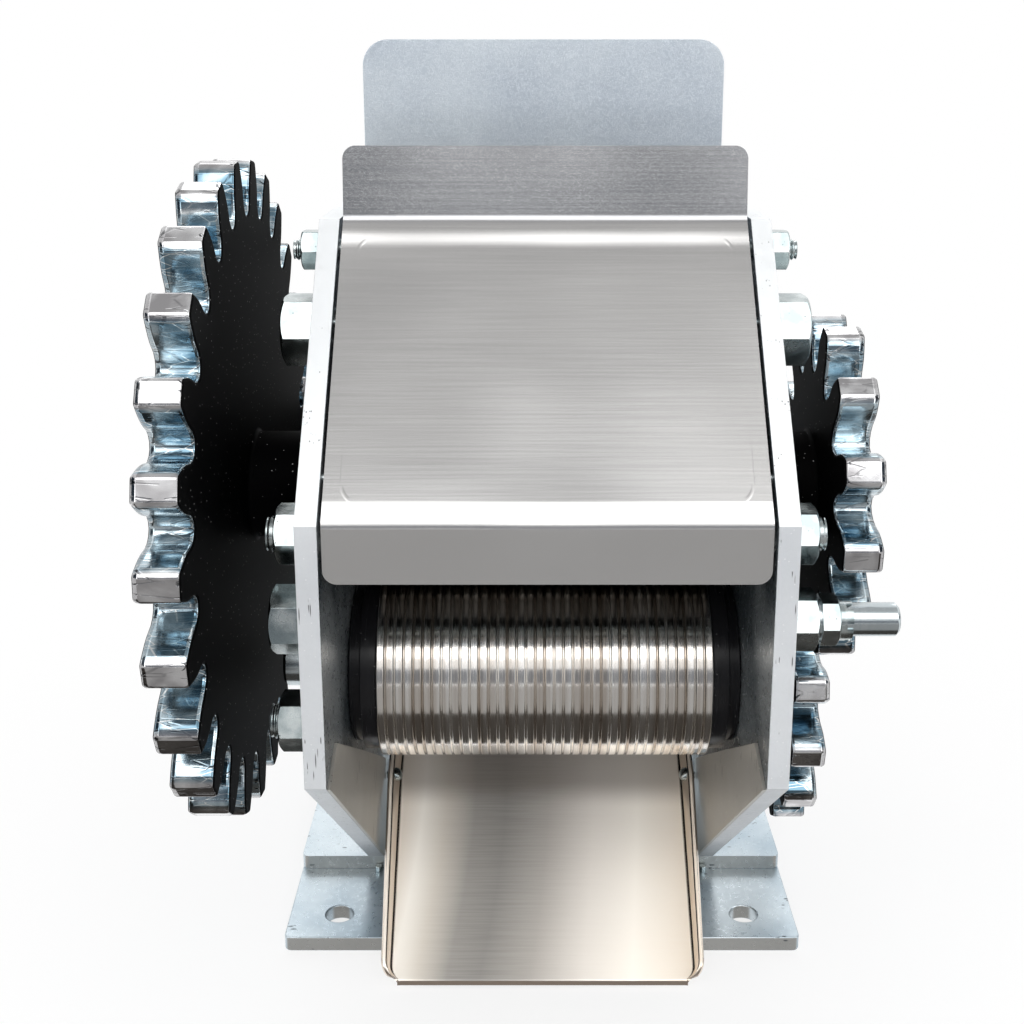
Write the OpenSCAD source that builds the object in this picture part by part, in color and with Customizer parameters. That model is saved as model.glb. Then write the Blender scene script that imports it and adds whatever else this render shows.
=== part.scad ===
// Manual sugarcane juicer: two side plates, three grooved rollers, cast gears and a juice tray.
// Millimetres. X = 0 midway between the plates, the front faces -Y, Z = 0 on the ground.
// "Front" lengths are measured from Y = 0 towards the front, "rear" lengths towards the rear.

/* [Side plates] */
// thickness of each side plate
plate_thick = 9.5; // [6:0.5:16]
// front edge of the plates, measured to the front
plate_front = 175; // [140:1:230]
// rear edge of the plates, measured to the rear
plate_rear = 200; // [150:1:260]
// how far below the main axis the front edge turns into the lower chamfer
face_low_drop = 102.5; // [70:0.5:130]
// how far above the main axis the front edge bends back under the cover
face_high_rise = 17; // [0:0.5:50]
// height of the top edge above the main axis
plate_top_rise = 131.5; // [110:0.5:170]
// front end of the top edge, measured to the front
top_front = 72; // [40:1:110]
// rear end of the top edge, measured to the rear
top_rear = 120; // [80:1:160]
// upper end of the rear edge, above the main axis
rear_high_rise = 46.5; // [0:0.5:80]
// lower end of the rear edge, below the main axis
rear_low_drop = 168.5; // [130:0.5:190]
// front end of the sole that stands on the base, measured to the rear
sole_front = 34; // [0:1:80]
// rear end of the sole, measured to the rear
sole_rear = 160; // [100:1:220]

/* [Base and feet] */
// thickness of the base plate and of both foot plates
foot_thick = 8.5; // [5:0.5:16]
// how far the base plate and the foot plates reach out beyond each side plate
foot_side = 40; // [15:0.5:70]
// how far the front foot reaches under the base plate
front_lap = 26.5; // [20:0.5:50]
// length of each foot plate from front to rear
foot_length = 95; // [60:1:140]
// how far the rear foot reaches under the base plate
rear_lap = 28; // [20:0.5:50]
// corner radius of the base plate and the feet
foot_corner = 4; // [1:0.5:12]
// diameter of the four mounting holes
foot_hole_dia = 16; // [8:0.5:22]
// distance of a mounting hole from the end of its foot
foot_hole_side = 28.5; // [14:0.5:50]
// distance of a mounting hole from the outer foot edge
foot_hole_inset = 22.5; // [12:0.5:40]
// shank diameter of the bolts that join base and feet
base_bolt_dia = 10; // [6:1:16]
// size across flats of the base bolts' heads as a share of the shank
head_flats_share = 1.7; // [1.4:0.05:2]
// height of the base bolts' heads as a share of the shank
head_high_share = 0.64; // [0.4:0.02:0.9]
// distance of the base bolts from the side plates
base_bolt_side = 25; // [15:0.5:60]
// distance of the base bolts from the base plate's edge
base_bolt_inset = 13; // [8:0.5:30]
// diameter of the small locating studs at the base plate's front edge
stud_dot_dia = 4.4; // [3:0.1:8]
// how far the locating studs lie out under the side plates
stud_dot_out = 3; // [0:0.5:6]

/* [Inner gussets] */
// thickness of the strip along each plate's chamfer
gusset_thick = 1.5; // [1:0.5:6]
// width of the strip at its front end
gusset_front_width = 24; // [10:1:60]
// gap between the strip's upper edge and the front roller's collars
gusset_clear = 6.8; // [3:0.1:12]
// how far the strip reaches over the tray's side screws
gusset_over = 8; // [4:0.5:15]
// height of the strip's rear end on the base plate
gusset_end = 12; // [5:0.5:25]
// how far the strip reaches behind the sole's front corner
gusset_overrun = 24; // [5:1:60]

/* [Main shaft] */
// main axis, measured to the front
main_front = 60; // [30:1:100]
// height of the main axis
main_height = 282; // [220:0.5:340]
// diameter of the main shaft
main_dia = 40; // [25:1:60]
// diameter of the round hubs of the gears on the main shaft
main_hub_dia = 52; // [40:1:80]
// diameter of the bearing flanges
flange_dia = 96; // [70:1:130]
// thickness of the bearing flanges
flange_thick = 6; // [3:0.5:12]
// diameter of the sleeve that each flange carries through the plate
sleeve_dia = 54; // [45:1:80]
// radial clearance of every shaft in its bearing
run_fit = 0.05; // [0.02:0.01:0.1]
// gap between a turning face and the fixed face beside it
side_fit = 0.4; // [0.2:0.1:1]
// edge chamfer of shaft ends
shaft_chamfer = 1.5; // [0.5:0.1:3]

/* [Rollers] */
// diameter over the ridges of all three rollers
roller_dia = 93.6; // [70:0.2:120]
// length of the grooved drum
roller_length = 162; // [120:0.2:220]
// number of grooves around the drum
groove_count = 36; // [12:1:60]
// depth of a groove
groove_depth = 1.2; // [0.5:0.1:4]
// share of the drum's length that the flat ridges keep between the grooves
ridge_share = 0.7; // [0.2:0.05:0.9]
// gap between the main roller and the front roller below it
roller_nip = 0.7; // [0.3:0.1:4]
// diameter of the front, rear and crank shafts
shaft_dia = 25; // [16:1:36]
// diameter of the inner step of a roller collar
collar_dia = 87; // [60:0.5:110]
// diameter of the outer step of a roller collar
collar_step_dia = 79; // [50:0.5:105]
// width of the inner step of a roller collar
collar_width = 8; // [4:0.5:14]
// width of the outer step of a roller collar
collar_neck = 5.6; // [3:0.1:12]
// outside diameter of the bushes of the three small shafts
bush_dia = 32; // [24:1:50]
// diameter of the outer rim of a bush
bush_rim_dia = 42; // [30:1:60]
// thickness of the outer rim of a bush
bush_rim = 4; // [2:0.5:8]
// length of the front shaft outside the left plate
front_tail = 26.5; // [10:0.5:35]
// length of the small shafts outside a plate where nothing is mounted on them
short_tail = 12; // [6:0.5:20]

/* [Gears] */
// module of all gears
gear_module = 11.5; // [8:0.1:16]
// pressure angle of the teeth
pressure_angle = 20; // [14:0.5:28]
// tooth height above the pitch circle as a share of the module
addendum_share = 0.75; // [0.6:0.01:1.1]
// tooth depth below the pitch circle as a share of the module
dedendum_share = 1.55; // [1.2:0.01:1.8]
// play between two teeth in mesh
tooth_play = 0.6; // [0.1:0.05:1.5]
// rounding of the teeth's tips
tip_round = 2.4; // [0.5:0.1:3]
// teeth of the large gear
bull_teeth = 26; // [20:1:40]
// teeth of the upper right gear
upper_teeth = 13; // [11:1:20]
// teeth of the lower right gear
lower_teeth = 15; // [11:1:20]
// teeth of the crank pinion
pinion_teeth = 11; // [10:1:18]
// face width of the large gear and its pinion
bull_width = 19; // [12:0.5:30]
// face width of the two right gears
crown_width = 18; // [12:0.5:30]
// distance of the large gear from the side plate
bull_out = 36.5; // [28:0.5:60]
// distance of the right gears from the side plate
crown_out = 25.5; // [20:0.5:50]
// turning position of the large gear
bull_phase = 11.5; // [0:0.1:14]
// turning position of the upper right gear
upper_phase = 21; // [0:0.1:28]
// direction from the main axis to the crank axis
crank_angle = -8.4; // [-30:0.1:30]
// direction from the main axis to the rear roller axis
rear_angle = -53.5; // [-70:0.1:-40]
// hub diameter of the lower gear and the pinion
small_hub_dia = 40; // [30:1:60]
// diameter of the washers that hold the gears
keeper_dia = 56; // [40:1:70]
// thickness of the washers that hold the gears
keeper_thick = 4; // [2:0.5:8]
// hexagon size across flats of the bolts that hold the gears
keeper_hex = 19; // [13:1:30]
// head height of the bolts that hold the gears
keeper_head = 7.5; // [5:0.5:12]
// thread diameter of the bolts that hold the gears
keeper_thread = 12; // [8:1:20]
// depth of those bolts in the shaft
keeper_depth = 24; // [12:1:40]
// gap between the right bush and the crank seat's shoulder
crank_gap = 4; // [1:0.5:10]
// diameter of the seat that takes the crank
crank_dia = 22; // [12:1:36]
// length of the seat that takes the crank
crank_seat = 48; // [30:1:52]

/* [Tie rods and nuts] */
// distance of the top rod behind the top edge's front end
top_rod_back = 2.6; // [0:0.1:10]
// distance of the top rod below the top edge
top_rod_sink = 14.5; // [10:0.5:30]
// diameter of the top rod
top_rod_dia = 10; // [6:1:14]
// hexagon size across flats of the top rod's nuts
top_nut_hex = 17.5; // [10:0.5:24]
// height of the top rod's nuts
top_nut = 8.4; // [5:0.1:12]
// distance of the heavy rod from the top edge's front end, along the slope
heavy_rod_along = 47.4; // [35:0.2:80]
// distance of the heavy rod from the edge of the slope
heavy_rod_sink = 20; // [18:0.2:30]
// diameter of the heavy rod
heavy_rod_dia = 20; // [12:1:26]
// hexagon size across flats of the heavy rod's caps
heavy_hex = 30; // [20:0.5:40]
// height of the heavy rod's caps
heavy_cap = 15; // [8:0.5:20]
// distance of the middle rod from the front edge
mid_rod_in = 43; // [20:0.5:55]
// distance of the middle rod below the bend of the front edge
mid_rod_drop = 18; // [10:0.5:30]
// diameter of the middle rod, the rear rods and the lower stud
mid_rod_dia = 16; // [10:1:20]
// hexagon size across flats of their nuts
mid_nut_hex = 24; // [16:0.5:30]
// height of their nuts
mid_nut = 14.8; // [8:0.1:18]
// free thread outside every nut
thread_tail = 5; // [2:0.5:8]
// pitch of the visible thread
thread_pitch = 2; // [1:0.1:3]
// depth of the visible thread
thread_depth = 1; // [0.4:0.1:1.6]
// distance of the upper rear rod in front of the top edge's rear end
rear_rod_in = 16; // [10:0.5:30]
// distance of the upper rear rod below the top edge
rear_rod_sink = 26; // [20:0.5:40]
// distance of the lower rear rod from the rear edge
low_rod_in = 28; // [18:0.5:50]
// distance of the lower rear rod above the rear edge's lower end
low_rod_rise = 40; // [20:0.5:80]
// distance of the lower left stud from the front edge
stud_in = 33.5; // [20:0.5:50]
// height of the lower left stud above the chamfer's upper end
stud_rise = 15.8; // [5:0.1:25]

/* [Side bolt and axle stub] */
// distance of the left side bolt and the right stub from the front edge
stub_in = 26; // [20:0.5:40]
// how far they lie below the middle rod
stub_drop = 33.5; // [30:0.5:38]
// steel left in the plate under the stud, the side bolt and the stub
hole_skin = 1.5; // [0.5:0.1:5]
// thread diameter of the side bolt and the stub
stub_dia = 18; // [12:1:24]
// hexagon size across flats of the side bolt's head
side_hex = 27; // [18:0.5:36]
// head height of the side bolt
side_head = 15; // [8:0.5:20]
// hexagon size across flats of the inner stub nut
inner_nut_hex = 24; // [20:0.5:36]
// height of the inner stub nut
inner_nut = 13; // [8:0.5:18]
// gap with free thread between the two stub nuts
nut_gap = 1.6; // [0.5:0.1:4]
// hexagon size across flats of the outer stub nut
outer_nut_hex = 20; // [16:0.5:30]
// height of the outer stub nut
outer_nut = 8; // [5:0.5:12]
// turning position of the outer stub nut
outer_nut_turn = 3; // [0:1:30]
// diameter of the stub's lock ring
lock_dia = 18.4; // [14:0.1:22]
// height of the stub's lock ring
lock_ring = 5.5; // [3:0.5:8]
// thread diameter of the stub under the outer nut and the lock ring
stub_mid_dia = 16; // [12:0.5:18]
// diameter of the stub's plain end
stub_end_dia = 14.8; // [10:0.1:18]
// length of the stub's plain end
stub_end = 21; // [10:0.5:35]

/* [Cover] */
// thickness of the cover sheet
cover_thick = 1.5; // [0.8:0.1:3]
// gap between the cover and each side plate
cover_gap = 1.2; // [0.2:0.1:2]
// how far the cover lies below the edge of the plates
cover_sink = 3; // [0:0.5:6]
// height of the lip above the plates' top edge
lip_rise = 33; // [15:0.5:60]
// how far the lip leans to the rear
lip_lean = 4; // [0:0.5:12]
// height of the front flange below the bend
flange_drop = 26.5; // [12:0.5:50]
// radius of the cover's outer corners
cover_corner = 6; // [2:0.5:15]
// outer radius of the bends in the sheets
bend_radius = 6; // [3:0.5:12]
// depth of the cover's folded sides
fold_depth = 7.4; // [4:0.5:9]
// share of the slope that the folded sides leave free at the top
fold_start_share = 0.22; // [0.1:0.01:0.5]
// diameter of the pins that hold the cover in the plates
pin_dia = 4; // [2:0.5:6]
// how far a cover pin reaches into the plate
pin_depth = 4; // [2:0.5:6]

/* [Feed plate and guide] */
// thickness of the feed plate and the inner guide
feed_thick = 2; // [1:0.1:4]
// front face of the feed plate, measured to the rear
feed_rear = 12; // [0:1:40]
// height of the feed plate above the plates' top edge
feed_rise = 81.5; // [40:0.5:130]
// how far the feed plate reaches below the main axis
feed_low_drop = 16.5; // [0:0.5:30]
// radius of the feed plate's upper corners
feed_corner = 13; // [4:0.5:30]
// how much narrower each side of the feed plate is above the side plates
feed_shoulder = 3; // [0.5:0.5:10]
// gap between the guide and the rear roller
guide_gap = 9.4; // [4:0.1:15]
// height of the guide's bend above the rear roller's axis
guide_rise = 37; // [25:0.5:60]
// how far the guide reaches below the rear roller's axis
guide_drop = 41; // [20:0.5:50]
// overlap of the guide's upper end and the feed plate
guide_lap = 12; // [6:0.5:20]

/* [Juice tray] */
// thickness of the tray sheet
tray_thick = 1.5; // [0.8:0.1:3]
// gap between the tray and each gusset
tray_room = 0.3; // [0.1:0.05:1]
// how much narrower each side of the tray is at its front edge
tray_narrow = 5.2; // [2:0.1:20]
// front edge of the tray, measured to the front
tray_front = 68; // [40:1:100]
// height of the tray's underside at the front edge
tray_height = 4; // [2:0.5:20]
// how far the tray's rear end lies below the rear roller's axis
tray_drop = 65; // [52:0.5:75]
// sloped length of the tapering part
tray_taper = 122; // [80:1:150]
// sloped length of the whole tray
tray_length = 184; // [120:1:190]
// height of the tray's side walls
tray_wall = 12; // [9:0.5:25]
// length of the turned down front lip
tray_lip = 3; // [1:0.5:3.5]
// width of the folded rim on the side walls
tray_rim = 3.5; // [2:0.5:8]
// radius of the tray's front corners
tray_corner = 8; // [2:0.5:20]
// head diameter of the tray's side screws
tray_screw_head = 7; // [5:0.5:12]
// thread diameter of the tray's side screws
tray_screw_dia = 4; // [3:0.5:6]
// running room round it
screw_room = 0.1; // [0.02:0.01:0.2]
// sloped gap between the tray's tapering part and the heads of its side screws
tray_screw_gap = 0.5; // [0.3:0.1:10]

/* [Hidden] */

$fn = 72;
joined = 0.01;
bend_steps = 4;
degree = 180 / PI;
roller_half = roller_length / 2;
plate_in = roller_half + collar_width + collar_neck + side_fit;
plate_gap = 2 * plate_in;
plate_out = plate_in + plate_thick;
plate_top = main_height + plate_top_rise;
face_low = main_height - face_low_drop;
face_high = main_height + face_high_rise;
rear_high = main_height + rear_high_rise;
rear_low = main_height - rear_low_drop;
base_top = 2 * foot_thick;
main_y = -main_front;
front_z = main_height - roller_dia - roller_nip;
rear_reach = gear_module * (upper_teeth + lower_teeth) / 2;
rear_y = main_y + rear_reach * cos(rear_angle);
rear_z = main_height + rear_reach * sin(rear_angle);
crank_reach = gear_module * (bull_teeth + pinion_teeth) / 2;
crank_y = main_y + crank_reach * cos(crank_angle);
crank_z = main_height + crank_reach * sin(crank_angle);

// turning position of a gear with n teeth that meshes, in direction a, with one of m teeth at phase p
function mesh_phase(n, m, p, a) = a + 180 - m / n * (p - a) - 180 / n;
lower_phase = mesh_phase(lower_teeth, upper_teeth, upper_phase, rear_angle);
pinion_phase = mesh_phase(pinion_teeth, bull_teeth, bull_phase, crank_angle);

base_front = sole_front;
base_rear = sole_rear;
foot_width = 2 * (plate_out + foot_side);
foot_front = base_front + front_lap - foot_length;
rear_foot_front = base_rear - rear_lap;
rear_foot_end = rear_foot_front + foot_length;
bull_face = plate_out + bull_out;
crown_face = plate_out + crown_out;
plate_outline = [[-plate_front, face_low], [-plate_front, face_high], [-top_front, plate_top],
  [top_rear, plate_top], [plate_rear, rear_high], [plate_rear, rear_low], [sole_rear, base_top],
  [sole_front, base_top]];
top_rod = [-top_front + top_rod_back, plate_top - top_rod_sink];
slope_way = unit([-plate_front, face_high] - [-top_front, plate_top]);
heavy_rod = [-top_front, plate_top] + slope_way * heavy_rod_along + side(slope_way) * heavy_rod_sink;
mid_rod = [-plate_front + mid_rod_in, face_high - mid_rod_drop];
rods_mid = [mid_rod, [top_rear - rear_rod_in, plate_top - rear_rod_sink],
  [plate_rear - low_rod_in, rear_low + low_rod_rise]];
stub = [-plate_front + stub_in, mid_rod[1] - stub_drop];
stud = [-plate_front + stud_in, face_low + stud_rise];

// slope of the plates' chamfer and a point on it at a given Y
chamfer_rate = (base_top - face_low) / (sole_front + plate_front);
function chamfer_z(y) = face_low + (y + plate_front) * chamfer_rate;

// involute helper: polar angle that an involute gains from its base circle to radius r
function gain(base, r) = tan(acos(base / r)) * degree - acos(base / r);

// one tooth and the scalloped valley after it, in polar form around the gear centre
function tooth(n, at) =
  let (pitch = gear_module * n / 2,
       base = pitch * cos(pressure_angle),
       tip = pitch + addendum_share * gear_module,
       root = pitch - dedendum_share * gear_module,
       half = 90 / n - tooth_play / 4 / pitch * degree + gain(base, pitch),
       steps = 5,
       rise = (tip - base) / steps,
       valley = 180 / n - half,
       turn = 180 / 8,
       up = [for (i = [0 : steps]) polar(base + rise * i, at - half + gain(base, base + rise * i))],
       down = [for (i = [steps : -1 : 0]) polar(base + rise * i, at + half - gain(base, base + rise * i))])
  concat(
    [for (i = [0 : steps - 1]) up[i]],
    corner(up[steps - 1], up[steps], down[0], tip_round),
    corner(up[steps], down[0], down[1], tip_round),
    [for (i = [1 : steps]) down[i]],
    [for (s = [-90 + turn : turn : 90 - turn])
      polar(base - (base - root) * cos(s), at + 180 / n + valley * sin(s))]);
function polar(r, a) = [r * cos(a), r * sin(a)];
function gear_outline(n, phase) = [for (k = [0 : n - 1]) each tooth(n, phase + 360 * k / n)];

// points round the corner b between a and c with radius r, and a path with all its bends rounded so
function unit(v) = v / norm(v);
function corner(a, b, c, r) =
  let (u = unit(a - b), v = unit(c - b), half = acos(u * v) / 2, centre = b + unit(u + v) * r / sin(half),
       p = b + u * r / tan(half) - centre, q = b + v * r / tan(half) - centre, sweep = 180 - 2 * half)
  [for (k = [0 : bend_steps]) centre
    + (p * sin(sweep * (1 - k / bend_steps)) + q * sin(sweep * k / bend_steps)) / sin(sweep)];
function bent(path, r) = concat([path[0]],
  [for (i = [1 : len(path) - 2]) each corner(path[i - 1], path[i], path[i + 1], r)],
  [path[len(path) - 1]]);

// sheet of constant thickness along a path, mitred at the bends
function side(v) = [-v[1], v[0]];
function mitre(a, b, c) = let (p = side(unit(b - a)), q = side(unit(c - b)), m = unit(p + q))
  m / (m * p);
function edge(path, t) = [for (i = [0 : len(path) - 1]) path[i] + t * (
  i == 0 ? side(unit(path[1] - path[0])) :
  i == len(path) - 1 ? side(unit(path[i] - path[i - 1])) :
  mitre(path[i - 1], path[i], path[i + 1]))];
function strip(path, t) = let (e = edge(path, t)) concat(path, [for (i = [len(e) - 1 : -1 : 0]) e[i]]);

// puts the drawing's X, Y on the machine's Y, Z and its height along X from x0
module across(x0, y = 0, z = 0) {
  translate([x0, y, z]) rotate([90, 0, 90]) children();
}

module both_sides() {
  children();
  mirror([1, 0, 0]) children();
}

module round_rect(w, h, r) {
  translate([r, 0]) square([w - 2 * r, h]);
  translate([0, r]) square([w, h - 2 * r]);
  for (x = [r, w - r], y = [r, h - r]) translate([x, y]) circle(r);
}

// shaft from x0 to x1 with a chamfer at both ends
module shaft(x0, x1, r) {
  c = shaft_chamfer;
  across(x0) rotate_extrude()
    polygon([[0, 0], [r - c, 0], [r, c], [r, x1 - x0 - c], [r - c, x1 - x0], [0, x1 - x0]]);
}

// plain seat that starts at x0 and is chamfered at its outer end only
module pin_end(x0, long, r) {
  c = shaft_chamfer;
  across(x0) rotate_extrude() polygon([[0, 0], [r, 0], [r, long - c], [r - c, long], [0, long]]);
}

// hexagon prism along X with its outer corners turned off
module hexagon(x0, flats, high, turn = 0) {
  r = flats / sqrt(3);
  cut = (r - flats / 2);
  across(x0) intersection() {
    rotate(turn) cylinder(r = r, h = high, $fn = 6);
    rotate_extrude() polygon([[0, 0], [r + cut, 0], [r + cut, high - cut * 1.28],
      [flats / 2 - cut * 0.2, high], [0, high]]);
  }
}

// hexagon nut along X
module nut(x0, flats, high, bore, turn = 0) {
  difference() {
    hexagon(x0, flats, high, turn);
    across(x0 - joined) cylinder(d = bore, h = high + 2 * joined);
  }
}

// free thread end along X, cut as rings
module thread_end(x0, dia, long) {
  r = dia / 2;
  n = floor(long / thread_pitch);
  across(x0) rotate_extrude() polygon(concat([[0, 0]],
    [for (i = [0 : n - 1]) each [[r, i * thread_pitch], [r - thread_depth, (i + 0.5) * thread_pitch]]],
    [[r - thread_depth / 2, n * thread_pitch], [0, n * thread_pitch]]));
}

// round rod through both plates with a thread end outside each nut
module rod(dia, nut_high) {
  end = plate_out + nut_high;
  across(-end) cylinder(d = dia, h = 2 * end);
  both_sides() thread_end(end, dia, thread_tail);
}

module side_plate() {
  across(plate_in) difference() {
    linear_extrude(plate_thick) polygon(plate_outline);
    translate([0, 0, -joined]) linear_extrude(plate_thick + 2 * joined) {
      translate([main_y, main_height]) circle(d = sleeve_dia);
      translate([main_y, front_z]) circle(d = bush_dia);
      translate([rear_y, rear_z]) circle(d = bush_dia);
      translate([crank_y, crank_z]) circle(d = bush_dia);
      translate(top_rod) circle(d = top_rod_dia);
      translate(heavy_rod) circle(d = heavy_rod_dia);
      for (p = rods_mid) translate(p) circle(d = mid_rod_dia);
    }
    translate([stub[0], stub[1], hole_skin]) cylinder(d = stub_dia, h = plate_thick);
    for (p = cover_pin_places) translate([p[0], p[1], -joined])
      cylinder(d = pin_dia, h = pin_depth + joined);
  }
}

module right_side_plate() {
  color("silver") side_plate();
}

module left_side_plate() {
  color("silver") mirror([1, 0, 0]) difference() {
    side_plate();
    across(plate_in + hole_skin, stud[0], stud[1])
      cylinder(d = mid_rod_dia, h = plate_thick);
  }
}

// flat plate of the base with rounded corners, lying between two Y values
module floor_plate(y0, y1, z0) {
  translate([-foot_width / 2, y0, z0]) linear_extrude(foot_thick)
    round_rect(foot_width, y1 - y0, foot_corner);
}

bolt_places = [for (x = [-0.5, 0.5], y = [base_front + base_bolt_inset, base_rear - base_bolt_inset])
  [2 * x * (plate_in - base_bolt_side), y]];

module bolt_holes() {
  for (p = bolt_places) translate([p[0], p[1], -joined])
    cylinder(d = base_bolt_dia, h = base_top + 2 * joined);
}

module base_plate() {
  color("lightsteelblue") difference() {
    floor_plate(base_front, base_rear, foot_thick);
    bolt_holes();
  }
}

module foot(y0, y_hole) {
  difference() {
    floor_plate(y0, y0 + foot_length, 0);
    bolt_holes();
    for (x = [-0.5, 0.5]) translate([x * (foot_width - 2 * foot_hole_side), y_hole, -joined])
      cylinder(d = foot_hole_dia, h = foot_thick + 2 * joined);
  }
}

module front_foot() {
  color("lightsteelblue") foot(foot_front, foot_front + foot_hole_inset);
}

module rear_foot() {
  color("lightsteelblue") foot(rear_foot_front, rear_foot_end - foot_hole_inset);
}

module base_bolts() {
  color("gainsboro") for (p = bolt_places) translate([p[0], p[1], 0]) {
    cylinder(d = base_bolt_dia, h = base_top);
    translate([0, 0, base_top]) rotate([0, -90, 0])
      hexagon(0, base_bolt_dia * head_flats_share, base_bolt_dia * head_high_share);
  }
}

module locating_studs() {
  color("gainsboro") both_sides()
    translate([plate_in + stud_dot_out, base_front - stud_dot_dia / 2, foot_thick])
    cylinder(d = stud_dot_dia, h = stud_dot_dia * 0.8);
}

// strip welded inside each plate along its chamfer
module plate_gussets() {
  w = gusset_front_width;
  y0 = -plate_front;
  y1 = sole_front + gusset_overrun;
  under = front_z - collar_dia / 2 - gusset_clear;
  color("gray") difference() {
    both_sides() across(plate_in - gusset_thick) linear_extrude(gusset_thick)
      polygon([[y0 + w * 0.04, chamfer_z(y0 + w * 0.04)],
        [y0 + w * 1.1, chamfer_z(y0 + w * 1.1) + w * 1.2], [main_y, under],
        tray_screw_at + [tray_screw_head, gusset_over], [y1, base_top + gusset_end], [y1, base_top],
        [sole_front, base_top]]);
    on_tray() tray_screw_shape(screw_room);
  }
}

// outer line of the cover sheet, from the lip down to the front flange
cover_face = -plate_front + cover_sink;
bend_top = [-top_front + cover_sink, plate_top];
bend_low = [cover_face, face_high];
lip_top = plate_top + lip_rise;
flange_low = face_high - flange_drop;
cover_line = [[bend_top[0] + lip_lean, lip_top], bend_top, bend_low, [cover_face, flange_low]];
fold_line = [bend_top + (bend_low - bend_top) * fold_start_share, bend_low,
  [cover_face, flange_low + cover_corner]];
cover_half = plate_in - cover_gap;
cover_pin_places = [for (s = [0.35, 0.85])
  bend_top + (bend_low - bend_top) * s + side(unit(bend_low - bend_top)) * (fold_depth * 0.6)];

module cover() {
  color("silver") {
    intersection() {
      across(-cover_half) linear_extrude(2 * cover_half)
        polygon(strip(bent(cover_line, bend_radius), cover_thick));
      translate([-cover_half, 0, flange_low]) rotate([90, 0, 0]) linear_extrude(2 * plate_front)
        round_rect(2 * cover_half, lip_top - flange_low, cover_corner);
      translate([-cover_half, -plate_front, flange_low])
        cube([2 * cover_half, 2 * plate_front, lip_top - flange_low]);
    }
    difference() {
      both_sides() across(cover_half - cover_thick) linear_extrude(cover_thick)
        polygon(strip(edge(fold_line, cover_thick / 2), fold_depth - cover_thick / 2));
      cover_pin_shape();
    }
  }
}

module cover_pin_shape() {
  both_sides() for (p = cover_pin_places) across(cover_half - 2 * cover_thick, p[0], p[1])
    cylinder(d = pin_dia, h = 2 * cover_thick + cover_gap + pin_depth);
}

module cover_pins() {
  color("gainsboro") cover_pin_shape();
}

feed_low = main_height - feed_low_drop;
feed_high = plate_top_rise + feed_low_drop + feed_rise;

module feed_plate() {
  color("lightsteelblue") translate([-plate_in, feed_rear + feed_thick, feed_low]) rotate([90, 0, 0])
    linear_extrude(feed_thick) {
      square([plate_gap, feed_high - feed_rise]);
      translate([feed_shoulder, 0]) {
        square([plate_gap - 2 * feed_shoulder, feed_high - feed_corner]);
        round_rect(plate_gap - 2 * feed_shoulder, feed_high, feed_corner);
      }
    }
}

module rear_cover() {
  y = plate_rear - cover_sink;
  z = plate_top - cover_sink;
  color("silver") across(-plate_in) linear_extrude(plate_gap)
    polygon(strip(bent([[y, rear_low + cover_corner], [y, rear_high], [top_rear, z],
      [feed_rear + feed_thick, z]], bend_radius), cover_thick));
}

module feed_guide() {
  y0 = feed_rear + feed_thick;
  y1 = rear_y + roller_dia / 2 + guide_gap;
  color("silver") across(-plate_in) linear_extrude(plate_gap)
    polygon(strip(bent([[y0, feed_low + guide_lap], [y0, feed_low - feed_thick],
      [y1, rear_z + guide_rise], [y1, rear_z - guide_drop]], feed_thick * 2), feed_thick));
}

tray_rear_width = 2 * (plate_in - gusset_thick - tray_room);
tray_front_width = tray_rear_width - 2 * tray_narrow;
tray_slope = asin((rear_z - tray_drop - tray_height) / tray_length);
tray_screw_place = tray_taper + tray_screw_head / 2 + tray_screw_gap;
tray_screw_at = [-tray_front, tray_height] + polar(tray_screw_place, tray_slope)
  + side(polar(tray_wall / 2, tray_slope));

// places its children in the tray's sloped frame: X across, Y up the slope, Z off the sheet
module on_tray() {
  translate([0, -tray_front, tray_height]) rotate([tray_slope, 0, 0]) children();
}

// half width of the tray at the sloped distance s
function tray_half(s) = tray_front_width / 2
  + (tray_rear_width - tray_front_width) / 2 * min(s / tray_taper, 1);
function tray_side(inset, s0) = [[tray_half(s0) - inset, s0], [tray_rear_width / 2 - inset, tray_taper],
  [tray_rear_width / 2 - inset, tray_length]];

module tray_sheet() {
  c = tray_corner;
  h = tray_front_width / 2;
  union() {
    polygon(concat([[-h + c, 0], [h - c, 0]], [[h, c]], tray_side(0, c),
      [[-tray_rear_width / 2, tray_length], [-tray_rear_width / 2, tray_taper], [-h, c]]));
    for (x = [-1, 1]) translate([x * (h - c), c]) circle(c);
  }
}

module juice_tray() {
  outer = tray_side(0, tray_corner);
  inner = tray_side(tray_thick, tray_corner);
  rim = tray_side(tray_rim, tray_corner);
  color("silver") on_tray() difference() {
    union() {
      linear_extrude(tray_thick) tray_sheet();
      both_sides() linear_extrude(tray_wall)
        polygon([outer[0], outer[1], outer[2], inner[2], inner[1], inner[0]]);
      both_sides() translate([0, 0, tray_wall - tray_thick]) linear_extrude(tray_thick)
        polygon([outer[0], outer[1], outer[2], rim[2], rim[1], rim[0]]);
      rotate([-tray_slope, 0, 0]) translate([-tray_front_width / 2 + tray_corner, 0, -tray_lip])
        cube([tray_front_width - 2 * tray_corner, tray_thick, tray_lip + tray_thick]);
    }
    tray_screw_shape(screw_room);
  }
}

module tray_screw_shape(room = 0) {
  x0 = tray_rear_width / 2 - 2 * tray_thick;
  both_sides() translate([x0, tray_screw_place, tray_wall / 2]) rotate([0, 90, 0])
    cylinder(d = tray_screw_dia + room, h = plate_in - x0);
}

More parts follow.
